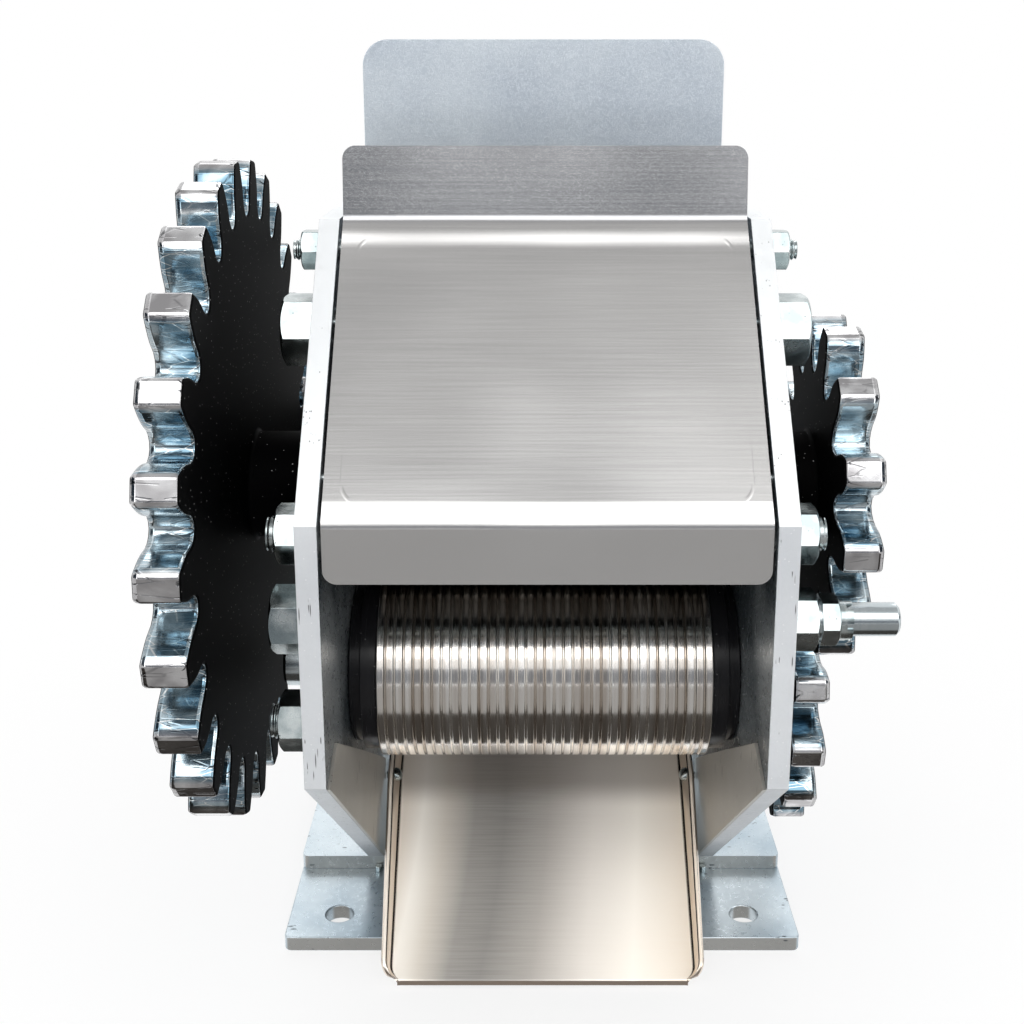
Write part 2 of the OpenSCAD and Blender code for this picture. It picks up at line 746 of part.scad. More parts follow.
module tray_screws() {
  color("gainsboro") on_tray() {
    tray_screw_shape();
    both_sides() translate([tray_rear_width / 2 - tray_thick, tray_screw_place, tray_wall / 2])
      rotate([0, -90, 0]) rotate_extrude() intersection() {
        translate([0, -tray_screw_head * 0.45]) circle(d = tray_screw_head * 1.35);
        square([tray_screw_head / 2, tray_screw_head / 2]);
      }
  }
}

module top_tie_rod() {
  color("gainsboro") translate([0, top_rod[0], top_rod[1]]) rod(top_rod_dia, top_nut);
}

module top_rod_nuts() {
  color("gainsboro") translate([0, top_rod[0], top_rod[1]]) both_sides()
    nut(plate_out, top_nut_hex, top_nut, top_rod_dia);
}

module heavy_tie_rod() {
  color("gainsboro") across(-plate_out - heavy_cap / 2, heavy_rod[0], heavy_rod[1])
    cylinder(d = heavy_rod_dia, h = 2 * plate_out + heavy_cap);
}

module heavy_rod_caps() {
  color("gainsboro") translate([0, heavy_rod[0], heavy_rod[1]]) both_sides() difference() {
    hexagon(plate_out, heavy_hex, heavy_cap, 4);
    across(plate_out - joined) cylinder(d = heavy_rod_dia, h = heavy_cap / 2 + joined);
  }
}

module long_tie_rods() {
  color("gainsboro") for (p = rods_mid) translate([0, p[0], p[1]]) rod(mid_rod_dia, mid_nut);
}

module tie_rod_nuts() {
  color("gainsboro") for (p = rods_mid) translate([0, p[0], p[1]]) both_sides()
    nut(plate_out, mid_nut_hex, mid_nut, mid_rod_dia, 4);
}

module lower_stud() {
  color("gainsboro") mirror([1, 0, 0]) translate([0, stud[0], stud[1]]) {
    across(plate_in + hole_skin) cylinder(d = mid_rod_dia, h = plate_thick - hole_skin + mid_nut);
    thread_end(plate_out + mid_nut, mid_rod_dia, thread_tail);
  }
}

module lower_stud_nut() {
  color("gainsboro") mirror([1, 0, 0]) translate([0, stud[0], stud[1]])
    nut(plate_out, mid_nut_hex, mid_nut, mid_rod_dia, 8);
}

module side_bolt() {
  color("gainsboro") mirror([1, 0, 0]) translate([0, stub[0], stub[1]]) {
    across(plate_in + hole_skin) cylinder(d = stub_dia, h = plate_thick - hole_skin);
    hexagon(plate_out, side_hex, side_head, 20);
  }
}

stub_nut_x = plate_out + inner_nut + nut_gap;
stub_lock_x = stub_nut_x + outer_nut;
stub_plain_x = stub_lock_x + lock_ring;

module axle_stub() {
  color("gainsboro") translate([0, stub[0], stub[1]]) {
    across(plate_in + hole_skin) cylinder(d = stub_dia, h = stub_nut_x - plate_in - hole_skin);
    across(stub_nut_x) cylinder(d = stub_mid_dia, h = stub_plain_x - stub_nut_x);
    pin_end(stub_plain_x, stub_end, stub_end_dia / 2);
  }
}

module stub_inner_nut() {
  color("gainsboro") translate([0, stub[0], stub[1]])
    nut(plate_out, inner_nut_hex, inner_nut, stub_dia, 3);
}

module stub_outer_nut() {
  color("gainsboro") translate([0, stub[0], stub[1]])
    nut(stub_nut_x, outer_nut_hex, outer_nut, stub_mid_dia, outer_nut_turn);
}

module stub_lock_ring() {
  color("gainsboro") translate([0, stub[0], stub[1]]) difference() {
    across(stub_lock_x) cylinder(d = lock_dia, h = lock_ring);
    across(stub_lock_x - joined) cylinder(d = stub_mid_dia, h = lock_ring + 2 * joined);
    for (a = [0 : 60 : 300]) rotate([a, 0, 0]) translate([stub_plain_x, lock_dia / 2, 0])
      cube([lock_ring, lock_dia * 0.16, lock_dia * 0.16], center = true);
  }
}

// flange outside the plate with a sleeve through it
module bearing(rim_dia, rim_thick, sleeve, bore) {
  difference() {
    union() {
      across(plate_in) cylinder(d = sleeve, h = plate_thick);
      across(plate_out) cylinder(d = rim_dia, h = rim_thick);
    }
    across(plate_in - joined) cylinder(r = bore / 2 + run_fit, h = plate_thick + rim_thick + 2 * joined);
  }
}

module main_bearings() {
  color("dimgray") translate([0, main_y, main_height]) both_sides()
    bearing(flange_dia, flange_thick, sleeve_dia, main_dia);
}

module shaft_bushes() {
  color("dimgray") for (p = [[main_y, front_z], [rear_y, rear_z], [crank_y, crank_z]])
    translate([0, p[0], p[1]]) both_sides() bearing(bush_rim_dia, bush_rim, bush_dia, shaft_dia);
}

// grooved drum with its bore
module roller(bore) {
  r = roller_dia / 2;
  p = roller_length / groove_count;
  flank = (1 - ridge_share) / 2;
  across(-roller_half) rotate_extrude() polygon(concat(
    [[bore / 2, 0]],
    [for (i = [0 : groove_count - 1]) each [[r - groove_depth, i * p], [r, (i + flank) * p],
      [r, (i + 1 - flank) * p]]],
    [[r - groove_depth, roller_length], [bore / 2, roller_length]]));
}

// stepped ring between the drum and the plate
module collars(bore) {
  both_sides() across(roller_half) rotate_extrude() polygon([[bore / 2, 0], [collar_dia / 2, 0],
    [collar_dia / 2, collar_width], [collar_step_dia / 2, collar_width],
    [collar_step_dia / 2, collar_width + collar_neck], [bore / 2, collar_width + collar_neck]]);
}

module gear(n, phase, x0, wide, bore, hub_dia, hub_x) {
  difference() {
    union() {
      across(x0) linear_extrude(wide) polygon(gear_outline(n, phase));
      across(hub_x) cylinder(d = hub_dia, h = x0 - hub_x + wide / 2);
    }
    across(hub_x - joined) cylinder(d = bore, h = x0 + wide - hub_x + 2 * joined);
  }
}

hub_start = plate_out + flange_thick + side_fit;
small_hub_start = plate_out + bush_rim + side_fit;

module keeper(x0, thread) {
  difference() {
    across(x0) cylinder(d = keeper_dia, h = keeper_thick);
    across(x0 - joined) cylinder(d = thread, h = keeper_thick + 2 * joined);
  }
}

module keeper_bolt(x0) {
  hexagon(x0 + keeper_thick, keeper_hex, keeper_head);
  across(x0 - keeper_depth) cylinder(d = keeper_thread, h = keeper_depth + keeper_thick);
}

// shaft with a threaded hole for a keeper bolt in the ends named
module bored_shaft(x0, x1, dia, left, right) {
  difference() {
    shaft(x0, x1, dia / 2);
    if (right) across(x1 - keeper_depth) cylinder(d = keeper_thread, h = keeper_depth + joined);
    if (left) across(x0 - joined) cylinder(d = keeper_thread, h = keeper_depth + joined);
  }
}

bull_end = bull_face + bull_width;
crown_end = crown_face + crown_width;

module main_shaft() {
  color("dimgray") translate([0, main_y, main_height])
    bored_shaft(-bull_end, crown_end, main_dia, true, true);
}

module main_roller() {
  color("silver") translate([0, main_y, main_height]) roller(main_dia);
}

module main_collars() {
  color("dimgray") translate([0, main_y, main_height]) collars(main_dia);
}

module bull_gear() {
  color("lightsteelblue") translate([0, main_y, main_height]) mirror([1, 0, 0])
    gear(bull_teeth, bull_phase, bull_face, bull_width, main_dia, main_hub_dia, hub_start);
}

module upper_gear() {
  color("lightsteelblue") translate([0, main_y, main_height])
    gear(upper_teeth, upper_phase, crown_face, crown_width, main_dia, main_hub_dia, hub_start);
}

module main_keepers() {
  color("gainsboro") translate([0, main_y, main_height]) {
    keeper(crown_end, keeper_thread);
    mirror([1, 0, 0]) keeper(bull_end, keeper_thread);
  }
}

module main_keeper_bolts() {
  color("gainsboro") translate([0, main_y, main_height]) {
    keeper_bolt(crown_end);
    mirror([1, 0, 0]) keeper_bolt(bull_end);
  }
}

module front_shaft() {
  color("silver") translate([0, main_y, front_z])
    shaft(-plate_out - front_tail, plate_out + short_tail, shaft_dia / 2);
}

module front_roller() {
  color("silver") translate([0, main_y, front_z]) roller(shaft_dia);
}

module front_collars() {
  color("dimgray") translate([0, main_y, front_z]) collars(shaft_dia);
}

module rear_shaft() {
  color("silver") translate([0, rear_y, rear_z])
    bored_shaft(-plate_out - short_tail, crown_end, shaft_dia, false, true);
}

module rear_roller() {
  color("silver") translate([0, rear_y, rear_z]) roller(shaft_dia);
}

module rear_collars() {
  color("dimgray") translate([0, rear_y, rear_z]) collars(shaft_dia);
}

module lower_gear() {
  color("lightsteelblue") translate([0, rear_y, rear_z])
    gear(lower_teeth, lower_phase, crown_face, crown_width, shaft_dia, small_hub_dia, small_hub_start);
}

module rear_keeper() {
  color("gainsboro") translate([0, rear_y, rear_z]) keeper(crown_end, keeper_thread);
}

module rear_keeper_bolt() {
  color("gainsboro") translate([0, rear_y, rear_z]) keeper_bolt(crown_end);
}

module crank_shaft() {
  shoulder = plate_out + bush_rim + crank_gap;
  color("silver") translate([0, crank_y, crank_z]) {
    bored_shaft(-bull_end, shoulder, shaft_dia, true, false);
    pin_end(shoulder, crank_seat, crank_dia / 2);
  }
}

module crank_pinion() {
  color("lightsteelblue") translate([0, crank_y, crank_z]) mirror([1, 0, 0])
    gear(pinion_teeth, pinion_phase, bull_face, bull_width, shaft_dia, small_hub_dia, small_hub_start);
}

module crank_keeper() {
  color("gainsboro") translate([0, crank_y, crank_z]) mirror([1, 0, 0]) keeper(bull_end, keeper_thread);
}

module crank_keeper_bolt() {
  color("gainsboro") translate([0, crank_y, crank_z]) mirror([1, 0, 0]) keeper_bolt(bull_end);
}

left_side_plate();
right_side_plate();
base_plate();
front_foot();
rear_foot();
base_bolts();
locating_studs();
plate_gussets();
cover();
cover_pins();
rear_cover();
feed_plate();
feed_guide();
juice_tray();
tray_screws();
top_tie_rod();
top_rod_nuts();
heavy_tie_rod();
heavy_rod_caps();
long_tie_rods();
tie_rod_nuts();
lower_stud();
lower_stud_nut();
side_bolt();
axle_stub();
stub_inner_nut();
stub_outer_nut();
stub_lock_ring();
main_bearings();
shaft_bushes();
main_shaft();
main_roller();
main_collars();
bull_gear();
upper_gear();
main_keepers();
main_keeper_bolts();
front_shaft();
front_roller();
front_collars();
rear_shaft();
rear_roller();
rear_collars();
lower_gear();
rear_keeper();
rear_keeper_bolt();
crank_shaft();
crank_pinion();
crank_keeper();
crank_keeper_bolt();
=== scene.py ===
"""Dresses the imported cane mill: three geared rollers between two steel plates."""
import math

import bmesh
import bpy
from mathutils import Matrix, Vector


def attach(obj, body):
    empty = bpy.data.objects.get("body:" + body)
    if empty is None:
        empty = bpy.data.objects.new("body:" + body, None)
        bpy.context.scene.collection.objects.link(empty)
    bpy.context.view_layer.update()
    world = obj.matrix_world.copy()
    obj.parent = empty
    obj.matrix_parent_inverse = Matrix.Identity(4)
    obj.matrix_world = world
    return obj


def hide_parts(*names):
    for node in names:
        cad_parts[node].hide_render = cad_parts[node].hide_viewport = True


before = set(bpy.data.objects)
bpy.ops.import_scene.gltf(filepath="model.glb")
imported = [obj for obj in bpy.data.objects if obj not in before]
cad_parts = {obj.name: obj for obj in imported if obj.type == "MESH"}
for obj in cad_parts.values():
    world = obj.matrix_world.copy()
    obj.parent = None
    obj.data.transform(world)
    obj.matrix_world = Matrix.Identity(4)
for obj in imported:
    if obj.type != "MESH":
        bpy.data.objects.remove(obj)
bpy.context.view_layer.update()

# ---------------------------------------------------------------- camera
# Looks at the mill's front from a little above the hopper, as the picture does.
# A small shift keeps the plates upright.
look_down = 14.12
lens = bpy.data.cameras.new("camera")
lens.sensor_width = 36.0
lens.lens = 48.74
lens.shift_x = -0.0137
lens.shift_y = -0.10
lens.clip_start = 0.02
lens.clip_end = 60.0
camera = bpy.data.objects.new("camera", lens)
camera.location = (-0.0089, -0.715, 0.4844)
camera.rotation_euler = (math.radians(90 - look_down), 0.0, 0.0)
bpy.context.scene.collection.objects.link(camera)
bpy.context.scene.camera = camera
bpy.context.scene.view_settings.view_transform = "Standard"


# ---------------------------------------------------------------- studio
# A white table top and a white room, soft boxes above the front and at both sides.
# Grey cards that only the metal can see give it something darker to mirror.
class Wire:
    """An output in a finish's nodes. Arithmetic on it adds Math nodes."""

    def __init__(self, finish, socket):
        self.finish, self.socket = finish, socket

    def math(self, operation, *others):
        return self.finish.reckon(operation, self, *others)

    def __add__(self, other):
        return self.math("ADD", other)

    def __sub__(self, other):
        return self.math("SUBTRACT", other)

    def __rsub__(self, other):
        return self.finish.reckon("SUBTRACT", other, self)

    def __mul__(self, other):
        return self.math("MULTIPLY", other)

    def __abs__(self):
        return self.math("ABSOLUTE")

    __radd__ = __add__
    __rmul__ = __mul__


class Finish:
    """A surface finish: a material, its shader, and the nodes that vary it over the surface."""

    def __init__(self, name, fixed=None, shader="ShaderNodeBsdfPrincipled"):
        self.material = bpy.data.materials.new(name)
        self.material.use_nodes = True
        self.tree = self.material.node_tree
        self.tree.nodes.clear()
        self.shader = self.tree.nodes.new(shader)
        self.end = self.tree.nodes.new("ShaderNodeOutputMaterial")
        self.tree.links.new(self.shader.outputs[0], self.end.inputs["Surface"])
        for socket, value in (fixed or {}).items():
            self.shader.inputs[socket].default_value = value

    def add(self, kind, settings=None, inputs=None, out=0):
        """Any node: its settings first, then the values or wires of its sockets."""
        node = self.tree.nodes.new(kind)
        for key, value in (settings or {}).items():
            if key == "stops":
                ramp = node.color_ramp.elements
                while len(ramp) < len(value):
                    ramp.new(0.5)
                for element, (position, colour) in zip(ramp, value):
                    element.position, element.color = position, (*colour, 1.0)
            else:
                setattr(node, key, value)
        for key, value in (inputs or {}).items():
            if isinstance(value, Wire):
                self.tree.links.new(value.socket, node.inputs[key])
            else:
                node.inputs[key].default_value = value
        return Wire(self, node.outputs[out])

    def feed(self, **wires):
        for name, wire in wires.items():
            self.tree.links.new(wire.socket, self.shader.inputs[name.replace("_", " ")])
        return self.material

    def reckon(self, operation, *values):
        return self.add("ShaderNodeMath", {"operation": operation}, dict(enumerate(values)))

    def place(self, stretch=(1.0, 1.0, 1.0), shift=(0.0, 0.0, 0.0)):
        here = self.add("ShaderNodeTexCoord", out="Object")
        sockets = {"Vector": here, "Location": shift, "Scale": stretch}
        return self.add("ShaderNodeMapping", inputs=sockets)

    def facing(self):
        return self.add("ShaderNodeNewGeometry", out="Normal")

    def split(self, vector):
        """The x, y and z of a vector."""
        first = self.add("ShaderNodeSeparateXYZ", inputs={0: vector})
        return [Wire(self, socket) for socket in first.socket.node.outputs]

    def noise(self, where, scale, detail=2.0, rough=0.5, warp=0.0):
        sockets = {"Vector": where, "Scale": scale, "Detail": detail, "Roughness": rough}
        return self.add("ShaderNodeTexNoise", inputs={**sockets, "Distortion": warp})

    def cells(self, where, scale, feature="F1"):
        sockets = {"Vector": where, "Scale": scale}
        return self.add("ShaderNodeTexVoronoi", {"feature": feature}, sockets, "Distance")

    def fade(self, value, low, high, to_low=0.0, to_high=1.0, ease="SMOOTHSTEP"):
        sockets = {0: value, 1: low, 2: high, 3: to_low, 4: to_high}
        return self.add("ShaderNodeMapRange", {"interpolation_type": ease}, sockets)

    def blend(self, share, first, second):
        colours = [c if isinstance(c, Wire) else (*c, 1.0) for c in (first, second)]
        sockets = {0: share, 6: colours[0], 7: colours[1]}
        return self.add("ShaderNodeMix", {"data_type": "RGBA"}, sockets, out=2)

    def bump(self, height):
        """A height in metres as a bump."""
        sockets = {"Strength": 1.0, "Distance": 1.0, "Height": height}
        return self.add("ShaderNodeBump", inputs=sockets)


table_reach = 12.0
table_mesh = bpy.data.meshes.new("table_top")
table_mesh.from_pydata(
    [(x * table_reach, y * table_reach, 0.0) for x, y in ((-1, -1), (1, -1), (1, 1), (-1, 1))],
    [],
    [(0, 1, 2, 3)],
)
table = bpy.data.objects.new("table_top", table_mesh)
bpy.context.scene.collection.objects.link(table)
paper = Finish("white_paper", {"Roughness": 0.9, "Specular IOR Level": 0.1})
paper.shader.inputs["Base Color"].default_value = (0.93, 0.93, 0.935, 1.0)
away = paper.add("ShaderNodeVectorMath", {"operation": "LENGTH"}, {0: paper.place()}, out="Value")
far = paper.fade(away, 0.18, 0.60, 0.72, 1.0)
seen = paper.add("ShaderNodeLightPath", out="Is Camera Ray")
mirrored = paper.add("ShaderNodeLightPath", out="Is Glossy Ray")
glow = paper.add("ShaderNodeEmission", inputs={"Color": (1.0, 1.0, 1.0, 1.0), "Strength": 1.0})
glowing = far * (seen + mirrored).math("MINIMUM", 1.0)
lit = Wire(paper, paper.shader.outputs[0])
mixed = paper.add("ShaderNodeMixShader", inputs={0: glowing, 1: lit, 2: glow})
paper.tree.links.new(mixed.socket, paper.end.inputs["Surface"])
table_mesh.materials.append(paper.material)

room = bpy.data.worlds.new("white_room")
room.use_nodes = True
bpy.context.scene.world = room
wiring = room.node_tree
wiring.nodes.clear()
path = wiring.nodes.new("ShaderNodeLightPath")
white_ray = path.outputs["Is Camera Ray"]
for ray in ("Is Glossy Ray", "Is Transmission Ray"):
    either = wiring.nodes.new("ShaderNodeMath")
    either.operation = "MAXIMUM"
    wiring.links.new(white_ray, either.inputs[0])
    wiring.links.new(path.outputs[ray], either.inputs[1])
    white_ray = either.outputs[0]
level = wiring.nodes.new("ShaderNodeMapRange")
level.inputs["To Min"].default_value = 0.72
level.inputs["To Max"].default_value = 1.0
wiring.links.new(white_ray, level.inputs["Value"])
sky = wiring.nodes.new("ShaderNodeBackground")
sky.inputs["Color"].default_value = (1.0, 1.0, 1.0, 1.0)
wiring.links.new(level.outputs[0], sky.inputs["Strength"])
room_end = wiring.nodes.new("ShaderNodeOutputWorld")
wiring.links.new(sky.outputs[0], room_end.inputs["Surface"])

# Name, place, full width and height, watts. The metal doesn't mirror the mouth's lamp.
mill_middle = Vector((0.0, 0.0, 0.24))
soft_boxes = (
    ("front_top", (0.0, -1.72, 1.77), (2.2, 1.35), 16.0),
    ("left_side", (-2.0, -0.9, 0.9), (0.7, 1.6), 7.0),
    ("right_side", (2.0, -0.9, 0.9), (0.7, 1.6), 7.0),
    ("rear_top", (0.0, 1.7, 1.9), (1.8, 0.8), 9.0),
    ("mouth", (0.0, -1.3, 0.28), (0.5, 0.2), 10.0),
)
for name, spot, (wide, high), watts in soft_boxes:
    lamp = bpy.data.lights.new(name, "AREA")
    lamp.shape = "RECTANGLE"
    lamp.size, lamp.size_y, lamp.energy = wide, high, watts
    box = bpy.data.objects.new(name, lamp)
    box.location = spot
    box.rotation_euler = (mill_middle - Vector(spot)).to_track_quat("-Z", "Y").to_euler()
    box.visible_glossy = name != "mouth"
    bpy.context.scene.collection.objects.link(box)

# Name, place, half width and height, tone. The two on the floor lie flat.
grey_cards = (
    ("card_over", (0.0, -0.15, 2.4), (1.8, 0.88), (0.55, 0.55, 0.55)),
    ("card_front", (0.0, -2.7, 0.42), (2.2, 0.42), (0.22, 0.23, 0.25)),
    ("floor_far", (0.0, -1.10, 0.003), (1.4, 0.80), (0.36, 0.355, 0.35)),
    ("floor_near", (0.0, -0.19, 0.003), (0.9, 0.11), (0.06, 0.055, 0.05)),
    ("card_left", (-2.4, -0.1, 0.45), (0.9, 0.5), (0.05, 0.07, 0.09)),
    ("card_right", (2.4, -0.1, 0.45), (0.9, 0.5), (0.05, 0.07, 0.09)),
)
for name, spot, (wide, high), tone in grey_cards:
    card_mesh = bpy.data.meshes.new(name)
    flat = [(-wide, -high, 0.0), (wide, -high, 0.0), (wide, high, 0.0), (-wide, high, 0.0)]
    card_mesh.from_pydata(flat, [], [(0, 1, 2, 3)])
    card = bpy.data.objects.new(name, card_mesh)
    card.location = spot
    if not name.startswith("floor"):
        card.rotation_euler = (mill_middle - Vector(spot)).to_track_quat("Z", "Y").to_euler()
    bpy.context.scene.collection.objects.link(card)
    card_mesh.materials.append(
        Finish(name, {"Color": (*tone, 1.0), "Strength": 1.0}, "ShaderNodeEmission").material
    )
    card.visible_camera = card.visible_diffuse = card.visible_shadow = False


# ---------------------------------------------------------------- feet and base plate
# Two thick flat bars lie across under the mill, with a hole at each end for the bench bolts,
# and a middle plate is bolted over them. Sawn from plate and zinc plated, a little blue.
micron = 1e-6


def worked(node, width, finish, body="frame", segments=2, sharp=32):
    """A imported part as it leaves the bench: its edges broken to a width in metres.

    An edge that turns by more than sharp, in degrees, counts as one.
    """
    same_point, same_plane = 1e-6, math.radians(0.4)
    mesh = bpy.data.meshes.new("worked_" + node)
    shape = bmesh.new()
    shape.from_mesh(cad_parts[node].data)
    bmesh.ops.remove_doubles(shape, verts=shape.verts, dist=same_point)
    bmesh.ops.dissolve_limit(
        shape, angle_limit=same_plane, verts=shape.verts, edges=shape.edges
    )
    for face in shape.faces:
        face.smooth = True
        face.material_index = 0
    shape.to_mesh(mesh)
    shape.free()
    mesh.set_sharp_from_angle(angle=math.radians(sharp))
    part = bpy.data.objects.new("worked_" + node, mesh)
    bpy.context.scene.collection.objects.link(part)
    if width:
        edge = part.modifiers.new("edge", "BEVEL")
        edge.width, edge.segments, edge.angle_limit = width, segments, math.radians(sharp)
        edge.limit_method = "ANGLE"
    part.modifiers.new("flat_faces", "WEIGHTED_NORMAL").keep_sharp = True
    shown = part.evaluated_get(bpy.context.evaluated_depsgraph_get())
    part.data = bpy.data.meshes.new_from_object(shown)
    part.modifiers.clear()
    part.data.materials.clear()
    part.data.materials.append(finish)
    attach(part, body)
    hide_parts(node)
    return part


def zinc_plate():
    """Blue-white zinc on flat bar, clouded, with short dark nicks, and darker sawn ends."""
    zinc = Finish("zinc_plate", {"Metallic": 0.95})
    here = zinc.place()
    cloud = zinc.noise(here, 14.0, 4.0)
    grain = zinc.noise(here, 420.0, 3.0, 0.6)
    rare = zinc.fade(zinc.noise(here, 60.0), 0.60, 0.66)
    nick = zinc.fade(zinc.cells(zinc.place((150.0, 420.0, 420.0)), 1.0), 0.20, 0.32, 1.0, 0.0)
    nick = nick * rare
    _, ahead, _ = zinc.split(zinc.facing())
    sawn = zinc.fade(abs(ahead), 0.7, 0.9)
    tone = zinc.blend(zinc.fade(cloud, 0.3, 0.7), (0.38, 0.46, 0.52), (0.64, 0.71, 0.75))
    tone = zinc.blend(sawn, tone, zinc.blend(cloud, (0.25, 0.25, 0.24), (0.35, 0.35, 0.34)))
    return zinc.feed(
        Base_Color=zinc.blend(nick * 0.8, tone, (0.05, 0.06, 0.07)),
        Roughness=zinc.fade(grain, 0.3, 0.7, 0.26, 0.40),
        Normal=zinc.bump(grain * (12 * micron) - nick * (80 * micron)),
    )


zinc_bar = zinc_plate()
for node in ("front_foot", "rear_foot", "base_plate"):
    worked(node, 0.0011, zinc_bar)


# ---------------------------------------------------------------- nuts and bolts of the frame
# Zinc-plated hexagon screws and nuts, turned and rolled, with small plating dots.
# They hold the feet to the base plate and clamp the side plates on the tie rods.
def plated_hardware():
    """Bright pale zinc with tiny dark dots and a satin turned grain."""
    zinc = Finish("plated_hardware", {"Metallic": 1.0})
    here = zinc.place()
    cloud = zinc.noise(here, 90.0, 3.0)
    rare = zinc.fade(zinc.noise(here, 240.0), 0.58, 0.62)
    dot = zinc.fade(zinc.cells(here, 520.0), 0.10, 0.20, 1.0, 0.0) * rare
    tone = zinc.blend(zinc.fade(cloud, 0.35, 0.65), (0.34, 0.40, 0.41), (0.62, 0.67, 0.67))
    return zinc.feed(
        Base_Color=zinc.blend(dot, tone, (0.08, 0.09, 0.09)),
        Roughness=zinc.fade(cloud, 0.3, 0.7, 0.16, 0.28),
        Normal=zinc.bump(zinc.noise(here, 700.0) * (6 * micron)),
    )


hardware = plated_hardware()
for node in (
    "base_bolts",
    "locating_studs",
    "top_rod_nuts",
    "heavy_rod_caps",
    "tie_rod_nuts",
    "lower_stud_nut",
    "side_bolt",
    "stub_inner_nut",
    "stub_outer_nut",
):
    worked(node, 0.0003, hardware)
for node in ("top_tie_rod", "long_tie_rods", "heavy_tie_rod", "lower_stud", "stub_lock_ring"):
    worked(node, 0.0, hardware)


# ---------------------------------------------------------------- side plates and gussets
# Two 9.5 mm steel plates, flame cut to eight sides and galvanised: a fine orange-peel skin,
# hairline marks along the cut edges. The gussets behind the tray are welded between them.
plate_inside = 0.0951


def plate_steel():
    """Grey galvanised skin, peeled and pinned, with a painted highlight on the upper edges and
    painted shade on the glossier inner faces.
    """
    steel = Finish("plate_steel", {"Metallic": 0.6})
    here = steel.place()
    cloud = steel.noise(here, 12.0, 4.0)
    peel = steel.noise(here, 300.0, 2.0, 0.5, 1.2)
    fine = steel.noise(here, 900.0)
    rare = steel.fade(steel.noise(here, 95.0), 0.60, 0.65)
    hair = steel.fade(steel.cells(steel.place((900.0, 900.0, 70.0)), 1.0), 0.16, 0.30, 1.0, 0.0)
    hair = hair * rare
    pin = steel.fade(steel.cells(here, 330.0), 0.06, 0.14, 1.0, 0.0)
    fleck = steel.fade(steel.cells(here, 150.0), 0.05, 0.10, 1.0, 0.0)
    side, _, _ = steel.split(here)
    inner = steel.fade(abs(side), plate_inside - 0.00005, plate_inside + 0.0001, 1.0, 0.0)
    _, _, rise = steel.split(steel.facing())
    tone = steel.blend(steel.fade(cloud, 0.3, 0.7), (0.54, 0.56, 0.585), (0.64, 0.66, 0.68))
    # Painted highlight: faces turned upwards, such as the sloping front edges, are lightened.
    tone = steel.blend(steel.fade(rise, 0.25, 0.45) * 0.8, tone, (0.88, 0.90, 0.91))
    tone = steel.blend(hair * 0.85, tone, (0.07, 0.07, 0.07))
    # Painted shade: the inner faces between the plates are darkened, with pale flecks on them.
    painted_inner_shade = steel.blend(steel.fade(cloud, 0.4, 0.6), (0.07, 0.085, 0.095), (0.24, 0.26, 0.27))
    tone = steel.blend(inner, tone, steel.blend(fleck, painted_inner_shade, (0.9, 0.9, 0.9)))
    height = peel * (45 * micron) + fine * (8 * micron) - hair * (100 * micron)
    return steel.feed(
        Base_Color=steel.blend(pin * 0.5, tone, (0.85, 0.85, 0.86)),
        Roughness=steel.fade(peel, 0.3, 0.7, 0.36, 0.52) - inner * 0.12,
        Normal=steel.bump(height),
    )


plate_skin = plate_steel()
worked("left_side_plate", 0.0005, plate_skin)
worked("right_side_plate", 0.0005, plate_skin)


def gusset_steel():
    """Brown-grey rolled steel with a dull sheen, a few long upright scratches and pale pins."""
    steel = Finish("gusset_steel", {"Metallic": 0.6})
    here = steel.place()
    cloud = steel.noise(here, 22.0, 3.0)
    rare = steel.fade(steel.noise(here, 45.0), 0.54, 0.58)
    scratch = steel.cells(steel.place((420.0, 420.0, 42.0)), 1.0)
    scratch = steel.fade(scratch, 0.10, 0.2, 1.0, 0.0) * rare
    pin = steel.fade(steel.cells(here, 260.0), 0.05, 0.11, 1.0, 0.0)
    tone = steel.blend(cloud, (0.32, 0.31, 0.28), (0.50, 0.48, 0.44))
    tone = steel.blend(scratch * 0.9, tone, (0.06, 0.05, 0.045))
    return steel.feed(
        Base_Color=steel.blend(pin * 0.6, tone, (0.88, 0.86, 0.82)),
        Roughness=steel.fade(cloud, 0.3, 0.7, 0.30, 0.42),
        Normal=steel.bump(scratch * (60 * micron) + steel.noise(here, 500.0) * (10 * micron)),
    )


worked("plate_gussets", 0.0005, gusset_steel())


# ---------------------------------------------------------------- axle stub
# The turned axle that stands out on the right, bright ground steel with a chamfered end.
# Two nuts and a notched ring hold it in the right plate.
def ground_steel():
    """Turned and ground steel, fine rings across the axis."""
    steel = Finish("ground_steel", {"Metallic": 1.0, "Roughness": 0.2})
    rings = steel.noise(steel.place((2600.0, 6.0, 6.0)), 1.0, 3.0)
    tone = steel.blend(rings, (0.50, 0.57, 0.60), (0.66, 0.71, 0.73))
    return steel.feed(Base_Color=tone, Normal=steel.bump(rings * (4 * micron)))


ground = ground_steel()
worked("axle_stub", 0.0, ground)


# ---------------------------------------------------------------- bearings and collars
# Black housings, bushes and stepped black collars turned from bar. The housings are oiled.
# The main shaft runs in the two housings, the other shafts in the bushes.
def black_steel(name, shine, coat):
    """Blackened turned steel: near black, satin, with fine rings and a little dust."""
    fixed = {"Specular IOR Level": shine, "Coat Weight": coat, "Coat Roughness": 0.10}
    black = Finish(name, fixed)
    rings = black.noise(black.place((900.0, 30.0, 30.0)), 1.0)
    dust = black.fade(black.cells(black.place(), 260.0), 0.04, 0.10, 1.0, 0.0)
    tone = black.blend(rings, (0.003, 0.003, 0.0035), (0.007, 0.007, 0.008))
    return black.feed(
        Base_Color=black.blend(dust * 0.15, tone, (0.5, 0.5, 0.5)),
        Roughness=black.fade(rings, 0.3, 0.7, 0.18, 0.28),
        Normal=black.bump(rings * (10 * micron)),
    )


